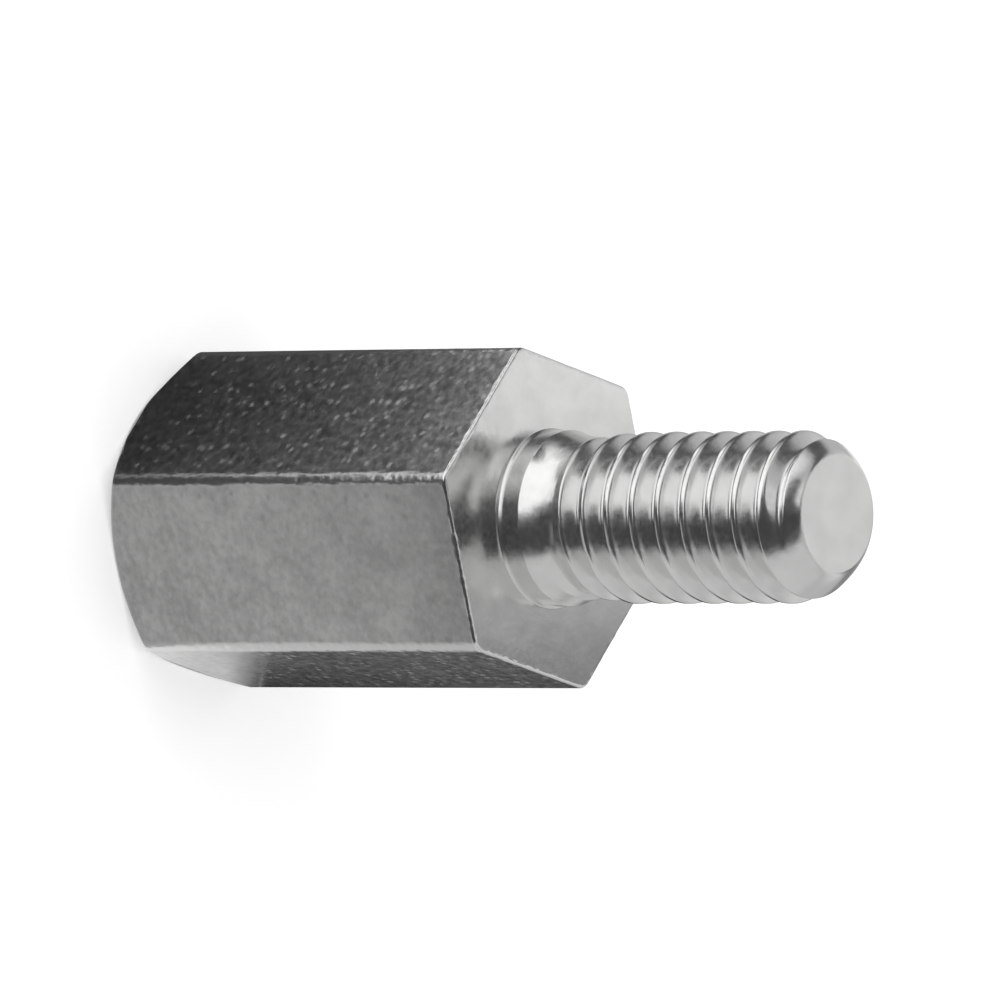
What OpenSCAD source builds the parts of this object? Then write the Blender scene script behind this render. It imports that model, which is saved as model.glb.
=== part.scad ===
// Male to female hex standoff, turned in one piece from hexagonal bar.
// The thread axis is Z. The female end face lies on z = 0 and the stud points up.

/* [Hexagon] */
// Width across the flats
across_flats = 7; // [6.5:0.5:10]
// Length of the hexagon, from the female end face to the shoulder
hex_len = 10; // [10:1:30]
// Radius of the bar's six long corners
corner_r = 0.2; // [0.1:0.05:0.5]
// Width of the small bevel round the shoulder
shoulder_bevel = 0.1; // [0.05:0.05:0.3]
// How far the female end's chamfer circle lies inside the flats
chamfer_inset = 0.05; // [0.02:0.01:0.4]
// Slope of the female end's chamfer, measured from the end face
chamfer_angle = 35; // [20:5:60]

/* [Thread] */
// Nominal diameter of the thread at both ends
thread_d = 4; // [3:0.5:4.5]
// Pitch of the thread at both ends
thread_pitch = 0.7; // [0.5:0.05:0.8]
// How far the stud's plated crests measure under the nominal diameter
crest_allowance = 0.15; // [0:0.01:0.2]

/* [Stud] */
// Length of the stud, from the shoulder to its tip
stud_len = 8; // [4:1:16]
// Radial width of the chamfer at the stud's tip
tip_chamfer = 0.63; // [0.3:0.01:0.9]
// Slope of the tip chamfer, measured from the axis
tip_angle = 45; // [30:5:60]
// Radius of the fillet where the stud meets the shoulder
foot_fillet = 0.12; // [0.05:0.01:0.3]
// Length of plain stud between the fillet and the relief groove
foot_land = 0.08; // [0.04:0.02:0.4]
// Width of the relief groove below the thread
relief_w = 0.36; // [0.2:0.02:0.8]
// Depth of the relief groove under the thread's crests
relief_depth = 0.12; // [0.05:0.01:0.3]

/* [Tapped hole] */
// Depth of the drilled hole at its full diameter
drill_depth = 7.5; // [4:0.5:8]
// Point angle of the drill
drill_point = 118; // [90:1:140]
// Radial width of the countersink at the hole's mouth
mouth_w = 0.5; // [0.2:0.05:0.6]
// Included angle of the countersink
mouth_angle = 90; // [60:5:120]

/* [Hidden] */
$fn = 96;

// How far a cutting tool runs past the face that it cuts
past = 1;
// Angle at which the arc of a long corner meets its flats
corner_blend = 5;

flat_r = across_flats / 2;
chamfer_r = flat_r - chamfer_inset;
corner_inset = corner_r * cos(corner_blend);
corner_centre = (flat_r - corner_inset) / cos(30);

stud_r = (thread_d - crest_allowance) / 2;
tip_h = tip_chamfer / tan(tip_angle);
relief_r = (relief_w * relief_w / 4 + relief_depth * relief_depth) / (2 * relief_depth);
relief_middle = foot_fillet + foot_land + relief_w / 2;

drill_r = (thread_d - thread_pitch) / 2;
point_h = drill_r / tan(drill_point / 2);
mouth_r = drill_r + mouth_w;
mouth_h = mouth_w / tan(mouth_angle / 2);

// What the drawing die takes off one long corner of the bar
module corner_offcut() {
    difference() {
        translate([corner_centre + corner_inset * cos(30), -corner_r])
            square([past, 2 * corner_r]);
        translate([corner_centre, 0])
            circle(r = corner_r);
    }
}

// Section of the bar: a hexagon whose six corners are arcs
module bar_section() {
    difference() {
        circle(r = flat_r / cos(30), $fn = 6);
        for (corner = [0:5])
            rotate(60 * corner)
                corner_offcut();
    }
}

// What stays inside the female end's cone, which leaves an arch on each flat
module chamfer_envelope() {
    reach = flat_r / cos(30) + past;
    rotate_extrude()
        polygon([
            [0, 0],
            [chamfer_r, 0],
            [reach, (reach - chamfer_r) * tan(chamfer_angle)],
            [reach, hex_len + past],
            [0, hex_len + past]
        ]);
}

// Wedges that take the small bevel off the six edges of the shoulder
module shoulder_wedges() {
    for (flat = [0:5])
        rotate(60 * flat + 30)
            translate([flat_r, 0, hex_len - shoulder_bevel])
                rotate([0, -45, 0])
                    translate([0, -flat_r, -past])
                        cube([past, across_flats, 2 * past]);
}

module hexagon() {
    difference() {
        intersection() {
            linear_extrude(hex_len)
                bar_section();
            chamfer_envelope();
        }
        shoulder_wedges();
    }
}

// Half section of the stud, from inside the hexagon up to the tip
module stud_section() {
    difference() {
        polygon([
            [0, -past],
            [stud_r + foot_fillet, -past],
            [stud_r + foot_fillet, 0],
            [stud_r, foot_fillet],
            [stud_r, stud_len - tip_h],
            [stud_r - tip_chamfer, stud_len],
            [0, stud_len]
        ]);
        translate([stud_r + foot_fillet, foot_fillet])
            circle(r = foot_fillet);
        translate([stud_r - relief_depth + relief_r, relief_middle])
            circle(r = relief_r);
    }
}

module stud() {
    translate([0, 0, hex_len])
        rotate_extrude()
            stud_section();
}

// Drilled hole with its countersunk mouth and the cone that the drill's point leaves
module drilled_hole() {
    rotate_extrude()
        polygon([
            [0, -past],
            [mouth_r + past * tan(mouth_angle / 2), -past],
            [mouth_r, 0],
            [drill_r, mouth_h],
            [drill_r, drill_depth],
            [0, drill_depth + point_h]
        ]);
}

module hex_standoff() {
    color("silver")
        difference() {
            union() {
                hexagon();
                stud();
            }
            drilled_hole();
        }
}

hex_standoff();
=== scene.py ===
import math

import bmesh
import bpy
from mathutils import Matrix, Vector, noise


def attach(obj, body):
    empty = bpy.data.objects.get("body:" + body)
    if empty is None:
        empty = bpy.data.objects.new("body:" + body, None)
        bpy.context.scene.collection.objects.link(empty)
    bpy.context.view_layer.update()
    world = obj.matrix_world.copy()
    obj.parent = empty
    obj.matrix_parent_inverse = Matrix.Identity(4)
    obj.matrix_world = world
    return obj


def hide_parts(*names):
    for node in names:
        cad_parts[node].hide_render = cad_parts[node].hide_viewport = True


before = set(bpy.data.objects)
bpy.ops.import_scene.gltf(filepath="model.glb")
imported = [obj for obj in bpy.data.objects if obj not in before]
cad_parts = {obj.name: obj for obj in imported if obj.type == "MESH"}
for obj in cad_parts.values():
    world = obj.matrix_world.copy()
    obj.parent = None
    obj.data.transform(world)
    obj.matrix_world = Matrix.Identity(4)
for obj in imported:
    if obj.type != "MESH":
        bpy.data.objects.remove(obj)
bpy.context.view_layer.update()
print("frame loaded:", ", ".join(sorted(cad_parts)))

mm = 0.001  # sizes are written in mm and worked in metres
fullTurn = 2 * math.pi


# small helpers for directions and node trees

def outwards(azimuth, elevation):
    # degrees round the thread axis from the corner on +X, and degrees above the shoulder's plane
    a, e = math.radians(azimuth), math.radians(elevation)
    return Vector((math.cos(e) * math.cos(a), math.cos(e) * math.sin(a), math.sin(e)))


def plug(tree, value, socket):
    if isinstance(value, bpy.types.NodeSocket):
        tree.links.new(value, socket)
    else:
        socket.default_value = value


def addNode(tree, kind, inputs=None, **settings):
    node = tree.nodes.new(kind)
    for name, value in settings.items():
        setattr(node, name, value)
    for name, value in (inputs or {}).items():
        plug(tree, value, node.inputs[name])
    return node


def calc(tree, operation, *values):
    node = addNode(tree, "ShaderNodeMath", operation=operation)
    for value, socket in zip(values, node.inputs):
        plug(tree, value, socket)
    return node.outputs[0]


def sums(tree, *operations):
    # one short function for each operation that a tree needs often
    def using(operation):
        return lambda *values: calc(tree, operation, *values)

    return [using(operation) for operation in operations]


def mapRange(tree, value, source, target=(0.0, 1.0), curve="LINEAR"):
    # source and target are pairs: the lowest and the highest value
    return addNode(tree, "ShaderNodeMapRange", {
        "Value": value, "From Min": source[0], "From Max": source[1],
        "To Min": target[0], "To Max": target[1]}, interpolation_type=curve).outputs[0]


def addSockets(tree, direction, names):
    for name, kind in names:
        tree.interface.new_socket(name, in_out=direction, socket_type="NodeSocket" + kind)


# camera: beside and above the stud, thread axis across the picture

closeView = {
    "azimuth": 13.37,           # degrees round the thread axis, from the corner on +X
    "elevation": 38.27,         # degrees above the shoulder's plane
    "lean": 0.35,               # degrees that the thread axis leans in the picture
    "distance": 346.5 * mm,
    "lens": 555.3,
    "target": Vector((0, 0, 10 * mm)),
    "targetRight": 1.187 * mm,  # where the target lies from the picture's middle
    "targetDown": 0.412 * mm,
    "clip": (0.01, 5),          # the nearest and the furthest thing seen, in metres
}


def placeCamera(spec):
    back = outwards(spec["azimuth"], spec["elevation"])
    threadAxis = (Vector((0, 0, 1)) - back * back.z).normalized()
    right = Matrix.Rotation(-math.radians(spec["lean"]), 3, back) @ threadAxis
    up = back.cross(right)
    place = spec["target"] + back * spec["distance"] - right * spec["targetRight"] + up * spec["targetDown"]
    camera = bpy.data.objects.new("closeCamera", bpy.data.cameras.new("closeCamera"))
    bpy.context.scene.collection.objects.link(camera)
    camera.data.lens = spec["lens"]
    camera.data.clip_start, camera.data.clip_end = spec["clip"]
    turned = Matrix((right, up, back)).transposed().to_4x4()
    camera.matrix_world = Matrix.Translation(place) @ turned
    bpy.context.scene.camera = camera


placeCamera(closeView)
print("camera placed")


# shader groups shared by the two finishes

mottle = {
    "patchShare": 0.2,        # pattern scales, as shares of the group's own Scale
    "grainShare": 1.0,
    "cellShare": 0.8,         # each cell holds one fleck at most
    "patchDetail": 1.0,
    "grainDetail": 2.0,
    "fleckEdge": (0.5, 0.1),  # from a cell's middle: where its fleck ends, and where it is full
}


def buildPlateGrain(spec):
    # fine mottle of plating: wide patches, a soft grain, and small round flecks of uneven strength
    tree = bpy.data.node_groups.new("plateGrain", "ShaderNodeTree")
    addSockets(tree, "INPUT", (("Scale", "Float"), ("Stretch", "Float"), ("Fleck Level", "Float")))
    addSockets(tree, "OUTPUT", (("Patches", "Float"), ("Grain", "Float"), ("Flecks", "Float")))
    given = addNode(tree, "NodeGroupInput").outputs
    where = addNode(tree, "ShaderNodeTexCoord").outputs["Object"]
    pull = addNode(tree, "ShaderNodeCombineXYZ", {"X": 1.0, "Y": 1.0, "Z": given["Stretch"]}).outputs[0]
    stretched = addNode(tree, "ShaderNodeVectorMath", {0: where, 1: pull}, operation="MULTIPLY").outputs[0]

    def scaled(share):
        return calc(tree, "MULTIPLY", given["Scale"], share)

    def cloud(share, detail):
        return addNode(tree, "ShaderNodeTexNoise", {
            "Vector": stretched, "Scale": scaled(share), "Detail": detail}).outputs[0]

    cells = addNode(tree, "ShaderNodeTexVoronoi", {
        "Vector": stretched, "Scale": scaled(spec["cellShare"])}).outputs
    spot = mapRange(tree, cells["Distance"], spec["fleckEdge"], curve="SMOOTHSTEP")
    chance = addNode(tree, "ShaderNodeSeparateColor", {"Color": cells["Color"]}).outputs[0]
    strength = mapRange(tree, chance, (given["Fleck Level"], 1.0))
    out = addNode(tree, "NodeGroupOutput")
    plug(tree, cloud(spec["patchShare"], spec["patchDetail"]), out.inputs["Patches"])
    plug(tree, cloud(spec["grainShare"], spec["grainDetail"]), out.inputs["Grain"])
    plug(tree, calc(tree, "MULTIPLY", spot, strength), out.inputs["Flecks"])
    return tree


def buildTurningMarks():
    # fine rings left by the lathe: they follow the radius on faces and the height on walls
    tree = bpy.data.node_groups.new("turningMarks", "ShaderNodeTree")
    addSockets(tree, "INPUT", (("Rings per Metre", "Float"),))
    addSockets(tree, "OUTPUT", (("Height", "Float"),))
    given = addNode(tree, "NodeGroupInput").outputs
    where = addNode(tree, "ShaderNodeTexCoord").outputs["Object"]
    x, y, z = addNode(tree, "ShaderNodeSeparateXYZ", {"Vector": where}).outputs
    plus, minus, times, root = sums(tree, "ADD", "SUBTRACT", "MULTIPLY", "SQRT")
    along = minus(root(plus(times(x, x), times(y, y))), z)
    rings = addNode(tree, "ShaderNodeTexNoise", {
        "W": along, "Scale": given["Rings per Metre"], "Detail": 3.0}, noise_dimensions="1D")
    out = addNode(tree, "NodeGroupOutput")
    plug(tree, rings.outputs[0], out.inputs["Height"])
    return tree


def buildEdgeWear():
    # the mesh marks its corners: they are rubbed smooth, and small dents break up their highlights
    tree = bpy.data.node_groups.new("edgeWear", "ShaderNodeTree")
    addSockets(tree, "INPUT", (("Scale", "Float"),))
    addSockets(tree, "OUTPUT", (("Rubbed", "Float"), ("Dents", "Float")))
    given = addNode(tree, "NodeGroupInput").outputs
    marked = addNode(tree, "ShaderNodeAttribute", attribute_name="wear").outputs["Fac"]
    where = addNode(tree, "ShaderNodeTexCoord").outputs["Object"]
    uneven = addNode(tree, "ShaderNodeTexNoise", {
        "Vector": where, "Scale": given["Scale"], "Detail": 1.5}).outputs[0]
    out = addNode(tree, "NodeGroupOutput")
    plug(tree, marked, out.inputs["Rubbed"])
    plug(tree, calc(tree, "MULTIPLY", marked, calc(tree, "SUBTRACT", uneven, 0.5)), out.inputs["Dents"])
    return tree


plateGrain = buildPlateGrain(mottle)
turningMarks = buildTurningMarks()
edgeWear = buildEdgeWear()


def placeGroup(tree, group, inputs):
    return addNode(tree, "ShaderNodeGroup", inputs, node_tree=group).outputs


def mixColours(tree, factor, first, second):
    # inputs 6 and 7 and output 2 are this node's colour sockets
    return addNode(tree, "ShaderNodeMix", {0: factor, 6: first, 7: second}, data_type="RGBA").outputs[2]


drawnFinish = {
    "dull": (0.49, 0.49, 0.485, 1),
    "clear": (0.70, 0.70, 0.692, 1),
    "rubbed": (0.70, 0.70, 0.692, 1),
    "patchWeight": 0.4,     # how much the wide patches and the fine grain count in the colour
    "grainWeight": 0.6,
    "colourRange": (0.34, 0.66),
    "smooth": 0.283,        # roughness where the grain is at its lowest
    "rough": 0.37,          # and at its highest
    "fleckRough": 0.26,     # what a fleck adds
    "rubbedRough": 0.284,
    "grainScale": 5200.0,
    "stretch": 1.15,
    "fleckLevel": 0.35,
    "cornerScale": 3400.0,
    "bump": 0.0008 * mm,
    "dent": 0.04 * mm,
}
turnedFinish = {
    "dull": (0.75, 0.75, 0.743, 1),
    "clear": (0.82, 0.82, 0.812, 1),
    "groove": (0.78, 0.78, 0.773, 1),
    "smooth": 0.155,
    "rough": 0.25,
    "grainScale": 7000.0,
    "cornerScale": 3400.0,
    "bump": 0.002 * mm,
    "waves": 6.0,           # height of the wide patches, in bumps
    "rings": 0.25,          # height of the turning marks, in bumps
    "dent": 0.03 * mm,
    "ringsPerMetre": 22000.0,
}
noiseRange = (0.3, 0.7)     # a noise pattern seldom leaves this


def newMaterial(name):
    material = bpy.data.materials.new(name)
    material.use_nodes = True
    tree = material.node_tree
    tree.nodes.clear()
    shader = addNode(tree, "ShaderNodeBsdfPrincipled")
    plug(tree, shader.outputs[0], addNode(tree, "ShaderNodeOutputMaterial").inputs["Surface"])
    return material, tree, shader


def roughen(tree, height, distance, dents, dentDistance):
    fine = addNode(tree, "ShaderNodeBump", {"Height": height, "Strength": 1.0, "Distance": distance})
    coarse = addNode(tree, "ShaderNodeBump", {
        "Height": dents, "Strength": 1.0, "Distance": dentDistance, "Normal": fine.outputs[0]})
    return coarse.outputs[0]


def makeDrawnNickel(spec):
    material, tree, shader = newMaterial("drawnNickel")
    shader.inputs["Metallic"].default_value = 1.0
    grain = placeGroup(tree, plateGrain, {
        "Scale": spec["grainScale"], "Stretch": spec["stretch"], "Fleck Level": spec["fleckLevel"]})
    corner = placeGroup(tree, edgeWear, {"Scale": spec["cornerScale"]})
    patches = calc(tree, "MULTIPLY", grain["Patches"], spec["patchWeight"])
    lightness = calc(tree, "MULTIPLY_ADD", grain["Grain"], spec["grainWeight"], patches)
    plated = mixColours(tree, mapRange(tree, lightness, spec["colourRange"]), spec["dull"], spec["clear"])
    plug(tree, mixColours(tree, corner["Rubbed"], plated, spec["rubbed"]), shader.inputs["Base Color"])
    base = mapRange(tree, grain["Grain"], noiseRange, (spec["smooth"], spec["rough"]))
    flecked = calc(tree, "MULTIPLY_ADD", grain["Flecks"], spec["fleckRough"], base)
    roughness = mapRange(tree, corner["Rubbed"], (0.0, 1.0), (flecked, spec["rubbedRough"]))
    plug(tree, roughness, shader.inputs["Roughness"])
    surface = roughen(tree, grain["Grain"], spec["bump"], corner["Dents"], spec["dent"])
    plug(tree, surface, shader.inputs["Normal"])
    return material


def makeTurnedNickel(spec):
    material, tree, shader = newMaterial("turnedNickel")
    shader.inputs["Metallic"].default_value = 1.0
    grain = placeGroup(tree, plateGrain, {"Scale": spec["grainScale"], "Stretch": 1.0})
    corner = placeGroup(tree, edgeWear, {"Scale": spec["cornerScale"]})
    groove = addNode(tree, "ShaderNodeAttribute", attribute_name="groove").outputs["Fac"]
    plated = mixColours(tree, mapRange(tree, grain["Patches"], noiseRange), spec["dull"], spec["clear"])
    plug(tree, mixColours(tree, groove, plated, spec["groove"]), shader.inputs["Base Color"])
    roughness = mapRange(tree, grain["Grain"], noiseRange, (spec["smooth"], spec["rough"]))
    plug(tree, roughness, shader.inputs["Roughness"])
    rings = placeGroup(tree, turningMarks, {"Rings per Metre": spec["ringsPerMetre"]})["Height"]
    height = calc(tree, "MULTIPLY_ADD", grain["Patches"], spec["waves"], grain["Grain"])
    height = calc(tree, "MULTIPLY_ADD", rings, spec["rings"], height)
    surface = roughen(tree, height, spec["bump"], corner["Dents"], spec["dent"])
    plug(tree, surface, shader.inputs["Normal"])
    return material


drawnNickel = makeDrawnNickel(drawnFinish)
turnedNickel = makeTurnedNickel(turnedFinish)
print("finishes made")


# threads: one tree makes both, the external one on the stud and the internal one in the hole

studThread = {
    "Side": 1.0,                  # 1 cuts into a stud, -1 into a hole's wall
    "Pitch": 0.715 * mm,          # a little over the nominal 0.7
    "Wall Radius": 1.925 * mm,
    "Crest Width": 0.14 * mm,
    "Flank Angle": math.radians(60),
    "Root Radius": 0.10 * mm,
    "Crest Softness": 0.09 * mm,
    "Low End": 10.55 * mm,
    "High End": 18.0 * mm,
    "Crest Height": 11.53 * mm,   # of a crest on the +X side
    "Fade From": 11.2 * mm,       # the groove starts here
    "Fade To": 11.65 * mm,        # and has its full depth from here
    "End Fade From": 17.4 * mm,   # it gets shallower again from here
    "End Fade To": 18.2 * mm,     # and would be gone here
    "Flare": 0.055 * mm,          # the wall's low end is this much wider
    "Waist": 0.11 * mm,           # the plain neck tapers in by this much
    "Waist Height": 11.4 * mm,    # down to here
    "Waist End": 12.4 * mm,       # and the crests are back on the wall radius from here
    "Cone End": 18.0 * mm,
    "Cone Radius": 1.295 * mm,
    "Cone Slope": 0.79,
    "Cone Curve": 0.72,           # 1 is straight, less is rounder
    "Cone Shift": 0.07 * mm,      # the cone is this far off the thread axis, towards -Y
    "Cone Softness": 0.06 * mm,
    "Columns": 160,
    "Rows per Turn": 30,
}
holeThread = {
    "Side": -1.0,
    "Pitch": 0.7 * mm,
    "Wall Radius": 1.65 * mm,
    "Crest Width": 0.16 * mm,
    "Flank Angle": math.radians(60),
    "Root Radius": 0.12 * mm,
    "Crest Softness": 0.03 * mm,
    "Low End": 0.0,
    "High End": 6.7 * mm,
    "Crest Height": 0.30 * mm,
    "Fade From": 6.2 * mm,
    "Fade To": 5.7 * mm,
    "End Fade From": 90 * mm,     # far away: this groove fades at its inner end only
    "End Fade To": 91 * mm,
    "Flare": 0.0,
    "Waist": 0.0,
    "Waist Height": 1.0 * mm,
    "Waist End": 2.0 * mm,
    "Cone End": 0.0,              # here the cone is the countersunk mouth
    "Cone Radius": 2.15 * mm,
    "Cone Slope": 1.0,
    "Cone Curve": 1.0,
    "Cone Shift": 0.0,
    "Cone Softness": 0.02 * mm,
    "Columns": 120,
    "Rows per Turn": 14,
}
rowCrowding = 0.4            # how much closer the rows lie at the crests
threadWeld = 0.0005 * mm


def buildThreadTree():
    tree = bpy.data.node_groups.new("helicalThread", "GeometryNodeTree")
    sizes = [(name, "Int" if isinstance(value, int) else "Float") for name, value in studThread.items()]
    addSockets(tree, "INPUT", sizes + [("Material", "Material")])
    addSockets(tree, "OUTPUT", (("Geometry", "Geometry"),))
    given = addNode(tree, "NodeGroupInput").outputs
    pitch, side, rootRadius = given["Pitch"], given["Side"], given["Root Radius"]
    lowEnd, highEnd, crestHeight = given["Low End"], given["High End"], given["Crest Height"]
    plus, minus, times, over, timesPlus = sums(tree, "ADD", "SUBTRACT", "MULTIPLY", "DIVIDE", "MULTIPLY_ADD")
    sine, cosine, tangent, roundUp = sums(tree, "SINE", "COSINE", "TANGENT", "CEIL")
    least, most = sums(tree, "MINIMUM", "MAXIMUM")

    # a flat grid: one turn wide, and as many turns high as the wall needs, with some to spare at each end
    turnsBelow = plus(roundUp(over(minus(crestHeight, lowEnd), pitch)), 1.0)
    turns = plus(roundUp(over(minus(highEnd, lowEnd), pitch)), 3.0)
    grid = addNode(tree, "GeometryNodeMeshGrid", {
        "Size X": 1.0, "Size Y": turns,
        "Vertices X": plus(given["Columns"], 1.0),
        "Vertices Y": timesPlus(turns, given["Rows per Turn"], 1.0)})
    where = addNode(tree, "GeometryNodeInputPosition").outputs[0]
    flat = addNode(tree, "ShaderNodeSeparateXYZ", {"Vector": where}).outputs
    across = plus(flat["X"], 0.5)
    evenTurn = timesPlus(turns, 0.5, flat["Y"])
    # rows crowd together at the crests, which have the tightest curves
    wave = sine(times(evenTurn, fullTurn))
    turn = plus(evenTurn, times(wave, -rowCrowding / fullTurn))

    # each row climbs by one pitch on its way round, and the ends are cut off level
    def climb(turnValue):
        return timesPlus(plus(minus(turnValue, turnsBelow), across), pitch, crestHeight)

    level = most(least(climb(turn), highEnd), lowEnd)

    # section of the groove: straight flanks that run into a round root
    halfAngle = times(given["Flank Angle"], 0.5)
    halfPitch = times(pitch, 0.5)
    fromRoot = minus(halfPitch, calc(tree, "PINGPONG", times(turn, pitch), halfPitch))
    flankRise = over(minus(halfPitch, times(given["Crest Width"], 0.5)), tangent(halfAngle))
    flankCross = over(rootRadius, sine(halfAngle))  # where the flanks would meet, from the root's middle
    fullDepth = minus(flankRise, minus(flankCross, rootRadius))
    square = minus(times(rootRadius, rootRadius), times(fromRoot, fromRoot))
    roundPart = calc(tree, "SQRT", most(square, 0.0))
    flankPart = minus(flankCross, over(fromRoot, tangent(halfAngle)))
    isRound = calc(tree, "LESS_THAN", fromRoot, times(rootRadius, cosine(halfAngle)))
    section = timesPlus(isRound, minus(roundPart, flankPart), flankPart)
    deep = plus(minus(fullDepth, rootRadius), section)
    depth = calc(tree, "SMOOTH_MAX", deep, 0.0, given["Crest Softness"])

    # the groove fades out where the tool was drawn back
    middle = climb(plus(calc(tree, "FLOOR", turn), 0.5))
    fade = mapRange(tree, middle, (given["Fade From"], given["Fade To"]), curve="SMOOTHSTEP")
    endFade = mapRange(
        tree, middle, (given["End Fade From"], given["End Fade To"]), (1.0, 0.0), curve="SMOOTHSTEP")
    cut = times(times(depth, fade), endFade)

    # the neck tapers in quickly and comes back slowly
    def remaining(low, high):
        return minus(1.0, mapRange(tree, level, (low, high)))

    lead = remaining(lowEnd, given["Waist Height"])
    flared = times(lead, lead)
    returned = times(minus(1.0, flared), remaining(given["Waist Height"], given["Waist End"]))
    waist = minus(times(returned, given["Waist"]), times(flared, given["Flare"]))

    # the cone at the open end trims the crests
    wall = minus(times(side, given["Wall Radius"]), plus(cut, waist))
    fromEnd = calc(tree, "ABSOLUTE", minus(level, given["Cone End"]))
    curved = calc(tree, "POWER", over(fromEnd, mm), given["Cone Curve"])
    coneReach = times(curved, times(given["Cone Slope"], mm))
    angle = times(across, fullTurn)
    shifted = minus(given["Cone Radius"], times(given["Cone Shift"], sine(angle)))
    cone = times(side, timesPlus(coneReach, side, shifted))
    radius = times(side, calc(tree, "SMOOTH_MIN", wall, cone, given["Cone Softness"]))
    place = addNode(tree, "ShaderNodeCombineXYZ", {
        "X": times(radius, cosine(angle)), "Y": times(radius, sine(angle)), "Z": level}).outputs[0]

    marked = addNode(tree, "GeometryNodeStoreNamedAttribute", {
        "Geometry": grid.outputs["Mesh"], "Name": "groove", "Value": over(cut, fullDepth)},
        data_type="FLOAT", domain="POINT").outputs[0]
    wrapped = addNode(tree, "GeometryNodeSetPosition", {"Geometry": marked, "Position": place}).outputs[0]
    merged = addNode(tree, "GeometryNodeMergeByDistance", {
        "Geometry": wrapped, "Distance": threadWeld}).outputs[0]
    realized = addNode(tree, "GeometryNodeRealizeInstances", {"Geometry": merged}).outputs[0]
    finished = addNode(tree, "GeometryNodeSetMaterial", {
        "Geometry": realized, "Material": given["Material"]}).outputs[0]
    plug(tree, finished, addNode(tree, "NodeGroupOutput").inputs["Geometry"])
    return tree


threadTree = buildThreadTree()


def makeThreadMesh(name, spec):
    holder = bpy.data.objects.new(name, bpy.data.meshes.new(name))
    bpy.context.scene.collection.objects.link(holder)
    modifier = holder.modifiers.new("helicalThread", "NODES")
    modifier.node_group = threadTree
    values = dict(spec, Material=turnedNickel)
    for item in threadTree.interface.items_tree:
        if item.item_type == "SOCKET" and item.in_out == "INPUT":
            modifier[item.identifier] = values[item.name]
    holder.data.update()
    mesh = bpy.data.meshes.new_from_object(holder.evaluated_get(bpy.context.evaluated_depsgraph_get()))
    bpy.data.objects.remove(holder)
    print(name, "has", len(mesh.polygons), "faces")
    return mesh


studThreadMesh = makeThreadMesh("studThread", studThread)
holeThreadMesh = makeThreadMesh("holeThread", holeThread)


# the rest of the skin: hexagon, chamfered end, shoulder, neck, tip and drilled hole

hexBar = {
    "flatRadius": 3.5 * mm,
    "cornerRadius": 0.36 * mm,
    "length": 10 * mm,
    "flatSteps": 26,
    "cornerSteps": 10,
    "rows": 60,
    "edgeRow": 0.004,           # height of the rows at the ends of the flats, as a share of the whole
    "rubSpread": 1.5,           # over 1, more of each long corner is rubbed than its middle
    "support": 0.03 * mm,       # rows that keep the shading crisp beside an edge
}
femaleChamfer = {
    "radius": 3.45 * mm,
    "slope": math.tan(math.radians(35)),
    "rings": (0.0, 0.35, 0.7),  # shares of the way from the chamfer's circle to the flats
    "leastWay": 0.2,            # the last ring before the edge is at least this share of the way out
    "cutCorner": -60,           # this corner is cut back further than the others
    "cutFrom": 3.03 * mm,
    "cutSlope": 0.31,
    "edgeDrop": 0.8,            # the flats start this much further up, in supports
    "edgeTuck": 0.006 * mm,
    "edgeWear": 0.6,
}
shoulderEdge = {
    "bevel": 0.066 * mm,        # the shoulder's broken edge
    "wobble": 0.025 * mm,
    "waves": ((0.6, 1.7, 3.1), (0.4, 6.0, 8.4)),  # each with its share, waves per mm and seed
    "nickWaves": (3.3, 21.7),   # waves per mm and seed
    "nickFrom": 0.42,           # only the peaks above this make nicks
    "nickDepth": 0.12 * mm,
    "steps": 5,
}
neck = {
    "landRadius": 1.98 * mm,
    "foot": 0.02 * mm,
    "sweep": 0.305 * mm,
    "tilts": (30, 8),           # degrees that the sweep leans back, just above the shoulder and at its top
    "footSteps": 4,
    "sweepSteps": 5,
    "beside": 0.02 * mm,        # rings this close to the foot and to the thread keep the shading crisp
    "above": (0.012 * mm, 0.05 * mm),              # and these stand above the sweep
    "shoulderRings": (3.15, 2.9, 2.6, 2.35, 2.2),  # radii in mm
}
tip = {
    "radius": 1.295 * mm,
    "height": 18 * mm,
    "rings": (1.0, 0.985, 0.85, 0.6, 0.35, 0.12),  # shares of the radius
}
hole = {
    "radius": 1.65 * mm,
    "depth": 7.5 * mm,
    "pointAngle": 118.0,
    "mouthRadius": 2.15 * mm,
    "wallRing": 7.0 * mm,       # one ring between the thread and the bottom
    "faceRings": (3.42, 3.1, 2.7, 2.4, 2.18),      # radii in mm
    "pointRings": (1.62, 1.2, 0.7, 0.25),
}
skinWeld = 0.001 * mm
drawnSlot, turnedSlot = 0, 1


def hexOutline(spec):
    # points round the bar, each with its outward direction and 1 where the edge is rubbed
    points = []
    centre = (spec["flatRadius"] - spec["cornerRadius"]) / math.cos(math.radians(30))
    for side in range(6):
        corner = math.radians(60 * side)
        middle = Vector((math.cos(corner), math.sin(corner), 0)) * centre
        for step in range(spec["cornerSteps"] + 1):
            a = corner + math.radians(-30 + 60 * step / spec["cornerSteps"])
            out = Vector((math.cos(a), math.sin(a), 0))
            rub = min(1.0, spec["rubSpread"] * math.sin(math.pi * step / spec["cornerSteps"]))
            points.append((middle + out * spec["cornerRadius"], out, rub))
        start, out, _ = points[-1]
        after = math.radians(60 * (side + 1))
        end = Vector((math.cos(after), math.sin(after), 0)) * centre + out * spec["cornerRadius"]
        edge = spec["support"] / (end - start).length
        between = [step / spec["flatSteps"] for step in range(1, spec["flatSteps"])]
        for share in [edge] + between + [1 - edge]:
            points.append((start.lerp(end, share), out, 0.0))
    return points


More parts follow.
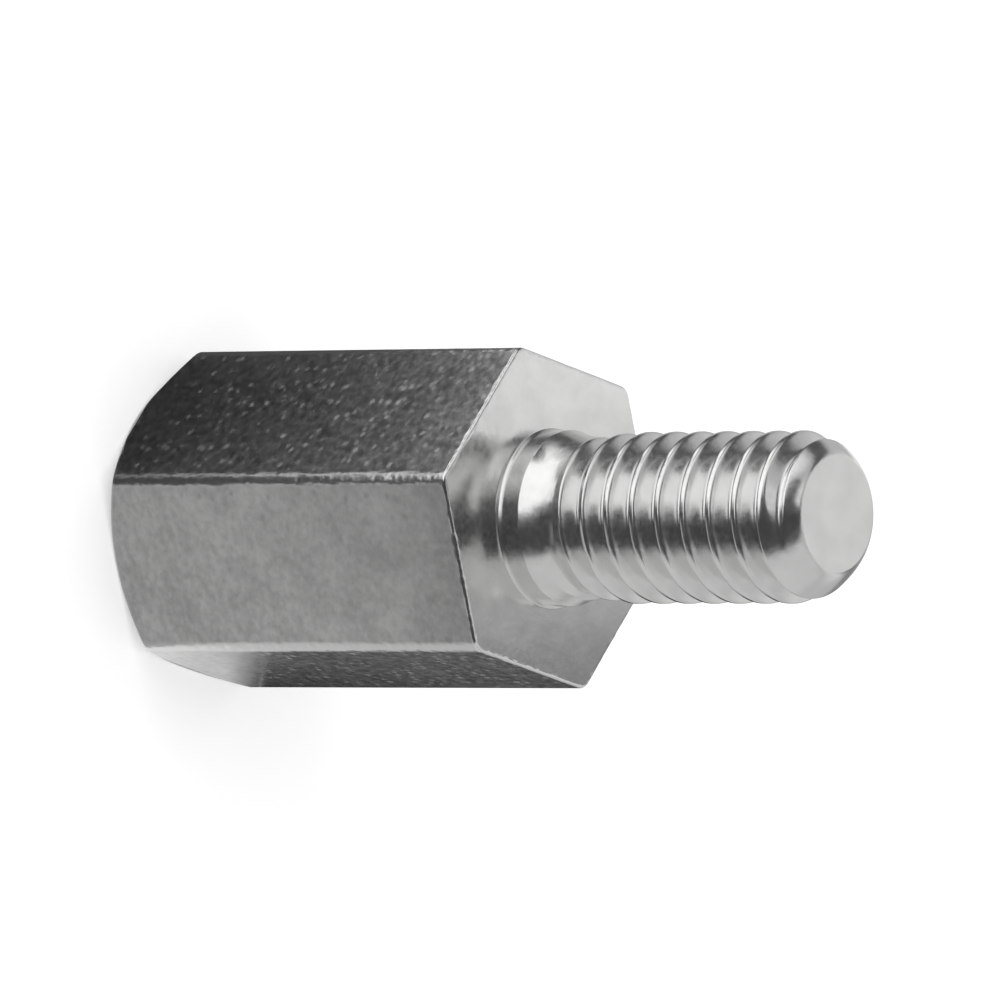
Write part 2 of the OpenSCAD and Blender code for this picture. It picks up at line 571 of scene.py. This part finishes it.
def addRing(skin, points, wear=0.0):
    wears = wear if isinstance(wear, list) else [wear] * len(points)
    ring = []
    for point, amount in zip(points, wears):
        vert = skin.verts.new(point)
        vert[skin.verts.layers.float["wear"]] = amount
        ring.append(vert)
    return ring


def addBand(skin, first, second, slot):
    count = len(first)
    for i in range(count):
        j = (i + 1) % count
        skin.faces.new((first[i], first[j], second[j], second[i])).material_index = slot


def zipRings(skin, first, second, slot):
    # joins two rings that have different numbers of points
    def angleOf(vert):
        return math.atan2(vert.co.y, vert.co.x) % fullTurn

    first, second = sorted(first, key=angleOf), sorted(second, key=angleOf)
    i = j = 0
    while i < len(first) or j < len(second):
        a, b = first[i % len(first)], second[j % len(second)]
        nextA, nextB = first[(i + 1) % len(first)], second[(j + 1) % len(second)]
        angleA = angleOf(nextA) + (fullTurn if i + 1 >= len(first) else 0)
        angleB = angleOf(nextB) + (fullTurn if j + 1 >= len(second) else 0)
        if j >= len(second) or (i < len(first) and angleA <= angleB):
            skin.faces.new((a, nextA, b)).material_index = slot
            i += 1
        else:
            skin.faces.new((a, nextB, b)).material_index = slot
            j += 1


def circle(radius, height, columns):
    angles = [fullTurn * k / columns for k in range(columns)]
    return [Vector((radius * math.cos(a), radius * math.sin(a), height)) for a in angles]


def turnProfile(skin, profile, columns, slot):
    # rings of the given (radius, height) pairs; returns the first and the last
    rings = [addRing(skin, circle(r, z, columns)) for r, z in profile]
    for lower, upper in zip(rings, rings[1:]):
        addBand(skin, lower, upper, slot)
    return rings[0], rings[-1]


def capRing(skin, ring, height, slot):
    middle = skin.verts.new((0, 0, height))
    for i, vert in enumerate(ring):
        skin.faces.new((vert, ring[(i + 1) % len(ring)], middle)).material_index = slot


def arcProfile(middleR, middleZ, radius, startAngle, endAngle, steps):
    points = []
    for k in range(steps + 1):
        a = math.radians(startAngle + (endAngle - startAngle) * k / steps)
        points.append((middleR + radius * math.cos(a), middleZ + radius * math.sin(a)))
    return points


def upBy(height):
    return Vector((0, 0, height))


def wobble(point, wavesPerMm, seed):
    return noise.noise(Vector((point.x * wavesPerMm / mm, point.y * wavesPerMm / mm, seed)))


# each row of the bar is a ring of points, its wear, and the finish of the band below it

def chamferRows(outline, bar, spec):
    # from a circle out to the arched ends of the flats; also gives the height at which each flat starts
    start, slope, support = spec["radius"], spec["slope"], bar["support"]
    cutAngle = math.radians(spec["cutCorner"])
    cutWay = Vector((math.cos(cutAngle), math.sin(cutAngle), 0))
    rims = []
    for point, _, _ in outline:
        cut = max(0.0, point.dot(cutWay) - spec["cutFrom"]) * spec["cutSlope"]
        rims.append((point, point.length, cut))
    rows = []
    for share in spec["rings"]:
        ring = []
        for point, r, cut in rims:
            at = start + (r - support - start) * share
            ring.append(point * (at / r) + upBy((at - start) * slope + cut * share))
        rows.append((ring, 0.0, turnedSlot))
    beside, edge, flatStarts = [], [], []
    for point, r, cut in rims:
        at = max(r - support, start + spec["leastWay"] * (r - start))
        beside.append(point * (at / r) + upBy((at - start) * slope + cut))
        flatStart = (r - start) * slope + cut + spec["edgeDrop"] * support
        edge.append(point * (1 - spec["edgeTuck"] / r) + upBy(flatStart - spec["edgeDrop"] * support))
        flatStarts.append(flatStart)
    rows.append((beside, spec["edgeWear"], turnedSlot))
    rows.append((edge, 1.0, turnedSlot))
    return rows, flatStarts


def unevenBevels(outline, spec):
    bevels = []
    for point, _, _ in outline:
        uneven = sum(share * wobble(point, waves, seed) for share, waves, seed in spec["waves"])
        nick = max(0.0, wobble(point, *spec["nickWaves"]) - spec["nickFrom"])
        bevels.append(spec["bevel"] + spec["wobble"] * uneven + spec["nickDepth"] * nick)
    return bevels


def flatRows(outline, bar, flatStarts, bevels):
    rows = []
    between = [k / bar["rows"] for k in range(1, bar["rows"])]
    for share in [0.0, bar["edgeRow"]] + between + [1 - bar["edgeRow"], 1.0]:
        ring = []
        for (point, _, _), low, bevel in zip(outline, flatStarts, bevels):
            ring.append(point + upBy(low + (bar["length"] - bevel - low) * share))
        atEdge = 1.0 if share in (0.0, 1.0) else 0.0
        rows.append((ring, [min(1.0, rub + atEdge) for _, _, rub in outline], drawnSlot))
    return rows


def bevelRows(outline, bar, bevels, steps):
    rows = []
    for k in range(1, steps + 1):
        a = math.radians(90 * k / steps)
        ring = []
        for (point, out, _), bevel in zip(outline, bevels):
            height = bar["length"] - bevel * (1 - math.sin(a))
            ring.append(point - out * (bevel * (1 - math.cos(a))) + upBy(height))
        rows.append((ring, 1.0, turnedSlot))
    beside = []
    for (point, out, _), bevel in zip(outline, bevels):
        beside.append(point - out * (bevel + bar["support"]) + upBy(bar["length"]))
    rows.append((beside, 0.0, turnedSlot))
    return rows


def buildBar(skin):
    outline = hexOutline(hexBar)
    bevels = unevenBevels(outline, shoulderEdge)
    rows, flatStarts = chamferRows(outline, hexBar, femaleChamfer)
    rows += flatRows(outline, hexBar, flatStarts, bevels)
    rows += bevelRows(outline, hexBar, bevels, shoulderEdge["steps"])
    rings = [addRing(skin, ring, wear) for ring, wear, _ in rows]
    for lower, upper, (_, _, slot) in zip(rings, rings[1:], rows[1:]):
        addBand(skin, lower, upper, slot)
    return rings[0], rings[-1]


def buildShoulder(skin, barTop, spec):
    top = hexBar["length"]
    landTop = studThread["Low End"]
    land, foot, sweep = spec["landRadius"], spec["foot"], spec["sweep"]
    steep, slight = spec["tilts"]
    sweepR = land + sweep * math.cos(math.radians(slight))
    sweepZ = top + foot + (sweep - foot) * math.sin(math.radians(steep))
    footR = sweepR - (sweep - foot) * math.cos(math.radians(steep))
    landZ = sweepZ - sweep * math.sin(math.radians(slight))
    profile = [(r * mm, top) for r in spec["shoulderRings"]] + [(footR + spec["beside"], top)]
    # a tight fillet, a shallow sweep, and the plain land below the tapering neck
    profile += arcProfile(footR, top + foot, foot, 270, 180 + steep, spec["footSteps"])
    profile += arcProfile(sweepR, sweepZ, sweep, 180 + steep, 180 + slight, spec["sweepSteps"])[1:]
    profile += [(land, landZ + height) for height in spec["above"]]
    profile += [(land, landTop - spec["beside"]), (land, landTop)]
    outer, _ = turnProfile(skin, profile, studThread["Columns"], turnedSlot)
    zipRings(skin, outer, barTop, turnedSlot)


def buildTip(skin, spec):
    # the flat end's rings run from the shifted edge of the cone in to the thread axis
    columns = studThread["Columns"]
    angles = [fullTurn * k / columns for k in range(columns)]
    edge = [spec["radius"] - studThread["Cone Shift"] * math.sin(a) for a in angles]
    rings = []
    for share in spec["rings"]:
        ring = [Vector((r * share * math.cos(a), r * share * math.sin(a), spec["height"]))
                for r, a in zip(edge, angles)]
        rings.append(addRing(skin, ring))
    for outer, inner in zip(rings, rings[1:]):
        addBand(skin, outer, inner, turnedSlot)
    capRing(skin, rings[-1], spec["height"], turnedSlot)


def buildHole(skin, barFoot, spec):
    columns = holeThread["Columns"]
    radius, depth = spec["radius"], spec["depth"]
    slope = math.tan(math.radians(90 - spec["pointAngle"] / 2))
    profile = [(r * mm, 0.0) for r in spec["faceRings"]] + [(spec["mouthRadius"], 0.0)]
    outer, _ = turnProfile(skin, profile, columns, turnedSlot)
    zipRings(skin, outer, barFoot, turnedSlot)
    wall = (holeThread["High End"], spec["wallRing"], depth - hexBar["support"], depth)
    profile = [(radius, z) for z in wall]
    profile += [(r * mm, depth + (radius - r * mm) * slope) for r in spec["pointRings"]]
    _, last = turnProfile(skin, profile, columns, turnedSlot)
    capRing(skin, last, depth + radius * slope, turnedSlot)


def buildStandoff():
    skin = bmesh.new()
    for mesh in (studThreadMesh, holeThreadMesh):
        skin.from_mesh(mesh)
    skin.verts.layers.float.new("wear")
    for face in skin.faces:
        face.material_index = turnedSlot
    barFoot, barTop = buildBar(skin)
    buildShoulder(skin, barTop, neck)
    buildTip(skin, tip)
    buildHole(skin, barFoot, hole)
    bmesh.ops.remove_doubles(skin, verts=skin.verts, dist=skinWeld)
    bmesh.ops.recalc_face_normals(skin, faces=skin.faces)
    openEdges = [edge for edge in skin.edges if len(edge.link_faces) != 2]
    volume = round(skin.calc_volume(signed=True) / mm ** 3, 2)
    print("skin:", len(skin.faces), "faces,", len(openEdges), "open edges, volume", volume, "mm3")
    for face in skin.faces:
        face.smooth = True
    mesh = bpy.data.meshes.new("hexStandoff")
    skin.to_mesh(mesh)
    skin.free()
    mesh.materials.append(drawnNickel)
    mesh.materials.append(turnedNickel)
    piece = bpy.data.objects.new("hexStandoff", mesh)
    bpy.context.scene.collection.objects.link(piece)
    return piece


standoff = buildStandoff()
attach(standoff, "root")
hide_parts("hex_standoff")
print("standoff built")


# studio: pale floor, even pale surroundings, one soft lamp, and a grey tent that only the metal sees

floorSpec = {
    "size": 2.8,
    "opening": 3.43 * mm,    # radius of the hole in the floor, under the piece
    "height": -0.01 * mm,
    "columns": 64,
    "colour": (0.86, 0.86, 0.86, 1),
    "roughness": 0.9,
    "gloss": 0.1,
    "lift": 0.33,            # how far it is lifted towards white, for the camera alone
}
surroundings = {"colour": (1.0, 1.0, 1.0, 1), "strength": 0.86}
softLamp = {"azimuth": -44, "elevation": 35, "distance": 0.30, "width": 0.40, "height": 0.08, "radiance": 2.0}

tent = {
    "radius": 90 * mm,
    "floorFrom": 15.5 * mm,  # the tent's own floor starts this far from the thread axis
    "floorGrowth": 1.25,     # and each ring of it is this much wider than the last
    "base": 0.02 * mm,
    "eyeHeight": 12 * mm,    # the floor's elevations are taken from this height
    "grey": 0.52,
    "step": 4,               # degrees between its columns and between its rows
    "top": 89.9,             # the last row stays just short of the zenith
}
# the tent's tone, from soft patches laid over one another: degrees round the thread axis from +X,
# degrees above the shoulder, how wide each patch's soft edge is, and its grey
tentPatches = (
    {"name": "backGlow", "azimuth": (-215, -135), "elevation": (12, 78), "soft": (16, 16), "grey": 0.73},
    {"name": "sideGlow", "azimuth": (64, 132), "elevation": (-90, 62), "soft": (10, 10), "grey": 0.62},
    {"name": "frontShade", "azimuth": (-13, 66), "elevation": (24, 50), "soft": (14, 8), "grey": 0.08},
    {"name": "window", "azimuth": (-86, -8), "elevation": (-90, -14), "soft": (8, 8), "grey": 1.22},
    {"name": "windowStep", "azimuth": (-58, 8), "elevation": (-22, 22), "soft": (10, 8), "grey": 1.2},
    {"name": "highWindow", "azimuth": (-82, -30), "elevation": (14, 44), "soft": (24, 7), "grey": 0.95},
    {"name": "sideFlag", "azimuth": (-119, -95), "elevation": (-90, 60), "soft": (8, 8), "grey": 0.09},
    {"name": "sideStep", "azimuth": (-98, -61), "elevation": (-14, 9), "soft": (6, 6), "grey": 0.05},
    {"name": "topFlag", "azimuth": (-57, 66), "elevation": (47, 90), "soft": (10, 6), "grey": 0.09},
    {"name": "overhead", "azimuth": (-66, -10), "elevation": (61, 77), "soft": (10, 6), "grey": 0.8},
    {"name": "frontFlag", "azimuth": (-1, 58), "elevation": (-90, -12), "soft": (10, 8), "grey": 0.06},
    {"name": "frontStep", "azimuth": (12, 58), "elevation": (-20, 72), "soft": (14, 8), "grey": 0.06},
)
flagSheet = {"cells": 8, "lowest": 0.05, "spacing": 0.02}  # heights in mm; later flags lie higher
# flags close to the piece, one or two for each face that the camera sees: corners in mm, each with its grey
nearFlags = (
    {"name": "flagForCorner", "greys": (0.74, 0.58, 0.58, 0.74),
     "corners": ((1.6, 3.8, 0), (11.3, 14.2, 0), (-6.0, 18.0, 0), (-2.4, 3.8, 0))},
    {"name": "flagForBC", "greys": (0.45, 0.45, 0.49, 0.49),
     "corners": ((4.0, -0.3, 0), (1.4, 4.2, 0), (11.3, 14.2, 0), (16.4, 5.8, 0))},
    {"name": "flagForRidge", "greys": (0.06, 0.06, 0.06, 0.06),
     "corners": ((4.1, -0.3, 0), (4.1, 0.1, 0), (15.4, 5.1, 0), (16.5, -3.2, 0))},
    {"name": "flagForAB", "greys": (0.03, 0.03, 0.02, 0.02),
     "corners": ((1.2, -4.2, 0), (4.2, 0.0, 0), (14.4, -12.0, 0), (6.8, -20.6, 0))},
    {"name": "flagBesideRidge", "greys": (0.05, 0.05, 0.05, 0.05),
     "corners": ((4.0, -0.5, 0), (4.1, -0.1, 0), (16.5, -3.2, 0), (11.5, -13.6, 0))},
    {"name": "streakForRidge", "greys": (0.2, 0.9, 0.9, 0.2),
     "corners": ((4.1, -0.35, 0), (10.4, -9.8, 0), (13.4, -7.2, 0), (4.2, -0.15, 0))},
    {"name": "flagForFarRidge", "greys": (0.08, 0.08, 0.08, 0.08),
     "corners": ((2.2, -3.4, 0), (5.6, -17.0, 0), (-9.0, -14.0, 0), (-2.4, -4.2, 0))},
    # these five sheets are painted light and painted shadow for the CD flat to reflect: a lit stretch of
    # floor beyond the piece's end, fading into the dark of a shadow under and past the flat
    {"name": "paintedLitFloorForCD", "greys": (0.98, 0.98, 0.70, 0.70),
     "corners": ((2.0, 3.4, 0), (2.0, 6.4, 0), (-1.2, 6.4, 0), (-1.2, 3.2, 0))},
    {"name": "paintedShadowEdgeForCD", "greys": (0.70, 0.70, 0.18, 0.0),
     "corners": ((-1.2, 3.2, 0), (-1.2, 6.4, 0), (-2.4, 6.4, 0), (-2.4, 3.2, 0))},
    {"name": "paintedShadowUnderCD", "greys": (0.0, 0.0, 0.0, 0.0),
     "corners": ((-3.0, 1.6, 0), (-2.4, 3.3, 0), (-22.0, 8.0, 0), (-22.0, -3.0, 0))},
    {"name": "paintedShadowForCD", "greys": (0.0, 0.12, 0.03, 0.0),
     "corners": ((-2.4, 3.2, 0), (-2.4, 6.4, 0), (-22.0, 11.1, 0), (-22.0, 7.9, 0))},
    {"name": "paintedShadowPastCD", "greys": (0.12, 0.60, 0.40, 0.0),
     "corners": ((-2.6, 6.4, 0), (-5.2, 13.0, 0), (-22.0, 24.0, 0), (-22.0, 11.0, 0))},
    {"name": "shadeHigh", "greys": (0.93, 0.93, 0.64, 0.64),
     "corners": ((-9, -6.5, 10), (-9, -6.5, 22), (-9, -2.0, 22), (-9, -2.0, 10))},
    {"name": "shadeLow", "greys": (0.64, 0.64, 0.20, 0.20),
     "corners": ((-9, -2.0, 10), (-9, -2.0, 22), (-9, 2.0, 22), (-9, 2.0, 10))},
    {"name": "shadeEnd", "greys": (0.20, 0.20, 0.40, 0.40),
     "corners": ((-9, 2.0, 10), (-9, 2.0, 22), (-9, 3.5, 22), (-9, 3.5, 10))},
)


def makeTentCloth():
    material = bpy.data.materials.new("tentCloth")
    material.use_nodes = True
    tree = material.node_tree
    tree.nodes.clear()
    tone = addNode(tree, "ShaderNodeAttribute", attribute_name="grey").outputs["Fac"]
    glow = addNode(tree, "ShaderNodeEmission", {"Color": tone, "Strength": 1.0})
    plug(tree, glow.outputs[0], addNode(tree, "ShaderNodeOutputMaterial").inputs["Surface"])
    material.cycles.emission_sampling = "NONE"
    return material


tentCloth = makeTentCloth()


def newSheet(name, verts, faces, greys):
    # tent cloth is seen in the metal's reflections and nowhere else
    mesh = bpy.data.meshes.new(name)
    mesh.from_pydata(verts, [], faces)
    mesh.attributes.new("grey", "FLOAT", "POINT").data.foreach_set("value", greys)
    mesh.materials.append(tentCloth)
    sheet = bpy.data.objects.new(name, mesh)
    bpy.context.scene.collection.objects.link(sheet)
    for ray in ("camera", "diffuse", "transmission", "volume_scatter", "shadow"):
        setattr(sheet, "visible_" + ray, False)


def softStep(value):
    value = min(1.0, max(0.0, value))
    return value * value * (3 - 2 * value)


def coverage(value, low, high, soft):
    return softStep((value - low) / soft + 0.5) * softStep((high - value) / soft + 0.5)


def tentTone(azimuth, elevation):
    tone = tent["grey"]
    for patch in tentPatches:
        low, high = patch["azimuth"]
        middle = (low + high) / 2
        turned = middle + (azimuth - middle + 180) % 360 - 180
        softAround, softUp = patch["soft"]
        share = coverage(turned, low, high, softAround) * coverage(elevation, *patch["elevation"], softUp)
        tone += (patch["grey"] - tone) * share
    return tone


def makeTent(spec):
    # rows from the floor's inner circle out to the wall, then up the dome to its top
    rows = []
    r = spec["floorFrom"]
    while r < spec["radius"]:
        rows.append((r, spec["base"], -math.degrees(math.atan(spec["eyeHeight"] / r))))
        r *= spec["floorGrowth"]
    for elevation in range(0, 91, spec["step"]):
        e = math.radians(min(elevation, spec["top"]))
        height = spec["base"] + spec["radius"] * math.sin(e)
        rows.append((spec["radius"] * math.cos(e), height, float(elevation)))
    columns = 360 // spec["step"]
    verts, greys = [], []
    for r, z, elevation in rows:
        for azimuth in range(0, 360, spec["step"]):
            a = math.radians(azimuth)
            verts.append((r * math.cos(a), r * math.sin(a), z))
            greys.append(tentTone(azimuth, elevation))
    faces = []
    for low in range(0, (len(rows) - 1) * columns, columns):
        high = low + columns
        for k in range(columns):
            after = (k + 1) % columns
            faces.append((low + k, low + after, high + after, high + k))
    newSheet("tent", verts, faces, greys)


def makeFlag(flag, layer, spec):
    # a grid, so that its greys blend evenly from corner to corner
    corners = [Vector(corner) * mm for corner in flag["corners"]]
    lift = Vector((0, 0, (spec["lowest"] + spec["spacing"] * layer) * mm))
    cells = spec["cells"]
    verts, greys = [], []
    for u in range(cells + 1):
        for v in range(cells + 1):
            a, b = u / cells, v / cells
            shares = ((1 - a) * (1 - b), a * (1 - b), a * b, (1 - a) * b)
            place = sum((corner * share for corner, share in zip(corners, shares)), Vector())
            verts.append(place + lift)
            greys.append(sum(grey * share for grey, share in zip(flag["greys"], shares)))
    faces = []
    for u in range(cells):
        for v in range(cells):
            low = (cells + 1) * u + v
            high = low + cells + 1
            faces.append((low, high, high + 1, low + 1))
    newSheet(flag["name"], verts, faces, greys)


def makeFloor(spec):
    # the floor is lifted a little towards white for the camera alone, and keeps the piece's shadow
    material, tree, shader = newMaterial("paleFloor")
    shader.inputs["Base Color"].default_value = spec["colour"]
    shader.inputs["Roughness"].default_value = spec["roughness"]
    shader.inputs["Specular IOR Level"].default_value = spec["gloss"]
    shader.inputs["Emission Color"].default_value = (1, 1, 1, 1)
    seen = addNode(tree, "ShaderNodeLightPath").outputs["Is Camera Ray"]
    plug(tree, calc(tree, "MULTIPLY", seen, spec["lift"]), shader.inputs["Emission Strength"])
    # from below the floor is clear, and it is open under the piece, so that the hole's end can be looked at
    clear = addNode(tree, "ShaderNodeBsdfTransparent").outputs[0]
    below = addNode(tree, "ShaderNodeNewGeometry").outputs["Backfacing"]
    both = addNode(tree, "ShaderNodeMixShader", {0: below, 1: shader.outputs[0], 2: clear}).outputs[0]
    plug(tree, both, tree.nodes["Material Output"].inputs["Surface"])
    columns = spec["columns"]
    verts = []
    for radius in (spec["opening"], spec["size"] / 2):
        verts += circle(radius, spec["height"], columns)
    faces = []
    for k in range(columns):
        after = (k + 1) % columns
        faces.append((k, columns + k, columns + after, after))
    mesh = bpy.data.meshes.new("floor")
    mesh.from_pydata(verts, [], faces)
    mesh.materials.append(material)
    floor = bpy.data.objects.new("floor", mesh)
    bpy.context.scene.collection.objects.link(floor)


def makeLamp(spec):
    # the lamp faces the middle of the shoulder
    toLamp = outwards(spec["azimuth"], spec["elevation"])
    light = bpy.data.lights.new("softLamp", "AREA")
    light.shape = "RECTANGLE"
    light.size, light.size_y = spec["width"], spec["height"]
    light.energy = spec["radiance"] * math.pi * spec["width"] * spec["height"]
    lamp = bpy.data.objects.new("softLamp", light)
    bpy.context.scene.collection.objects.link(lamp)
    lamp.visible_glossy = False
    turned = toLamp.to_track_quat("Z", "Y").to_matrix().to_4x4()
    lamp.matrix_world = Matrix.Translation(upBy(hexBar["length"]) + toLamp * spec["distance"]) @ turned


def makeSurroundings(spec):
    world = bpy.data.worlds.new("paleSurroundings")
    world.use_nodes = True
    backdrop = world.node_tree.nodes["Background"]
    backdrop.inputs["Color"].default_value = spec["colour"]
    backdrop.inputs["Strength"].default_value = spec["strength"]
    world.cycles.sampling_method = "NONE"
    bpy.context.scene.world = world


makeFloor(floorSpec)
makeTent(tent)
for layer, flag in enumerate(nearFlags):
    makeFlag(flag, layer, flagSheet)
makeLamp(softLamp)
makeSurroundings(surroundings)
bpy.context.scene.view_settings.view_transform = "Standard"
print("studio ready")
